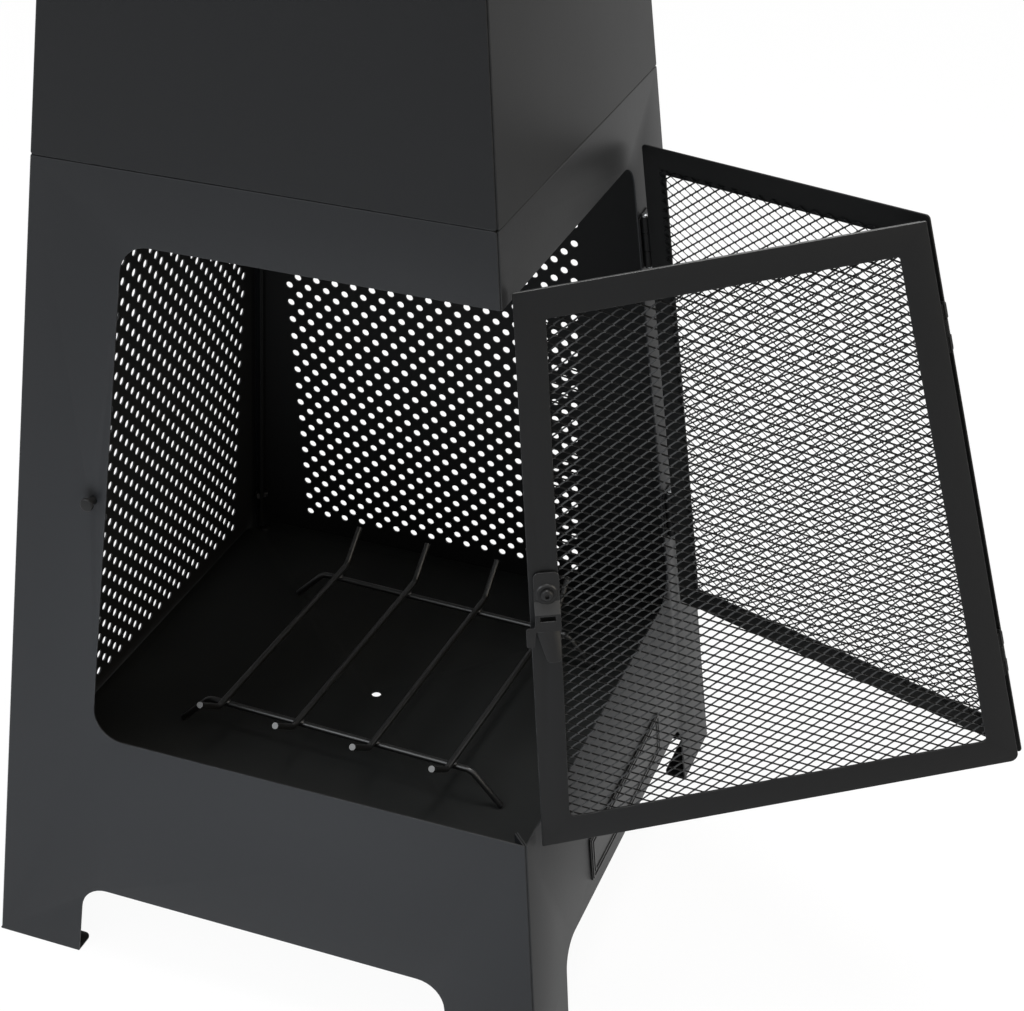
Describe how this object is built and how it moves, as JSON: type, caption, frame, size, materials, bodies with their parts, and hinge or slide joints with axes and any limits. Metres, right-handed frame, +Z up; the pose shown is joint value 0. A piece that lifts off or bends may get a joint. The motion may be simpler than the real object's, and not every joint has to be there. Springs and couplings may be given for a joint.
{
  "type": "outdoor fireplace",
  "caption": "Tapered outdoor fireplace of folded black sheet steel, with a folding mesh door round one corner, a log grate, a chimney and a rain cap.",
  "frame": {"origin": "on the ground below the chimney's axis, midway between the four feet", "axes": "+Z up, -Y out of the front face, +X out of the right face, which the door's hinges are on"},
  "size_m": [0.6531, 0.4, 1.445],
  "materials": {
    "body_coat": "matt black high-temperature paint",
    "chimney_coat": "matt black high-temperature paint",
    "door_coat": "matt black high-temperature paint",
    "mesh_coat": "matt black paint on expanded sheet",
    "grate_rod": "matt black paint on round rod",
    "hardware": "black oxide",
    "hinge_pin": "plated"
  },
  "bodies": {
    "body": {"back_panel": "body_coat", "bolt_high_front_left": "hardware", "bolt_high_front_right": "hardware", "bolt_high_rear_left": "hardware", "bolt_high_rear_right": "hardware", "bolt_low_front_left": "hardware", "bolt_low_front_right": "hardware", "bolt_low_rear_left": "hardware", "bolt_low_rear_right": "hardware", "bolt_seam_back": "hardware", "bolt_seam_front": "hardware", "bolt_seam_left": "hardware", "bolt_seam_right": "hardware", "bolt_tier_back": "hardware", "bolt_tier_front": "hardware", "bolt_tier_left": "hardware", "bolt_tier_right": "hardware", "cap_post_back": "chimney_coat", "cap_post_front": "chimney_coat", "cap_post_left": "chimney_coat", "cap_post_right": "chimney_coat", "catch_pin": "hardware", "chimney_lower_back": "chimney_coat", "chimney_lower_front": "chimney_coat", "chimney_lower_left": "chimney_coat", "chimney_lower_right": "chimney_coat", "chimney_upper_back": "chimney_coat", "chimney_upper_front": "chimney_coat", "chimney_upper_left": "chimney_coat", "chimney_upper_right": "chimney_coat", "floor_plate": "body_coat", "floor_screw_front_left": "hardware", "floor_screw_front_right": "hardware", "floor_screw_rear_left": "hardware", "floor_screw_rear_right": "hardware", "front_panel": "body_coat", "left_panel": "body_coat", "name_plate": "hardware", "post_hinge_lower_fixed": "hardware", "post_hinge_lower_pin": "hinge_pin", "post_hinge_upper_fixed": "hardware", "post_hinge_upper_pin": "hinge_pin", "rain_cap": "chimney_coat", "right_panel": "body_coat"},
    "side_leaf": {"corner_hinge_lower_pin": "hinge_pin", "corner_hinge_lower_side": "hardware", "corner_hinge_upper_pin": "hinge_pin", "corner_hinge_upper_side": "hardware", "post_hinge_lower_moving": "hardware", "post_hinge_upper_moving": "hardware", "side_leaf_frame": "door_coat", "side_leaf_mesh": "mesh_coat"},
    "front_leaf": {"corner_hinge_lower_front": "hardware", "corner_hinge_upper_front": "hardware", "front_leaf_frame": "door_coat", "front_leaf_mesh": "mesh_coat", "latch_bolt": "hardware"},
    "latch": {"latch_lever": "hardware"},
    "grate": {"log_grate": "grate_rod"}
  },
  "joints": [
    {"name": "side_leaf_swing", "type": "hinge", "parent": "body", "child": "side_leaf", "pos_m": [0.16861, 0.10839, 0.35407], "axis": [-0.097, -0.1059, 0.9896], "range_deg": [0, 100]},
    {"name": "front_leaf_fold", "type": "hinge", "parent": "side_leaf", "child": "front_leaf", "pos_m": [0.40299, -0.02667, 0.39182], "axis": [-0.2727, -0.0081, 0.9621], "range_deg": [0, 34.8]},
    {"name": "latch_turn", "type": "hinge", "parent": "front_leaf", "child": "latch", "pos_m": [0.17855, -0.1468, 0.34215], "axis": [0.4343, -0.8933, 0.1156], "range_deg": [-75, 30]},
    {"name": "grate_lift_out", "type": "slide", "parent": "body", "child": "grate", "axis": [0.0597, -0.8351, 0.5468], "range_m": [0, 0.38]}
  ]
}
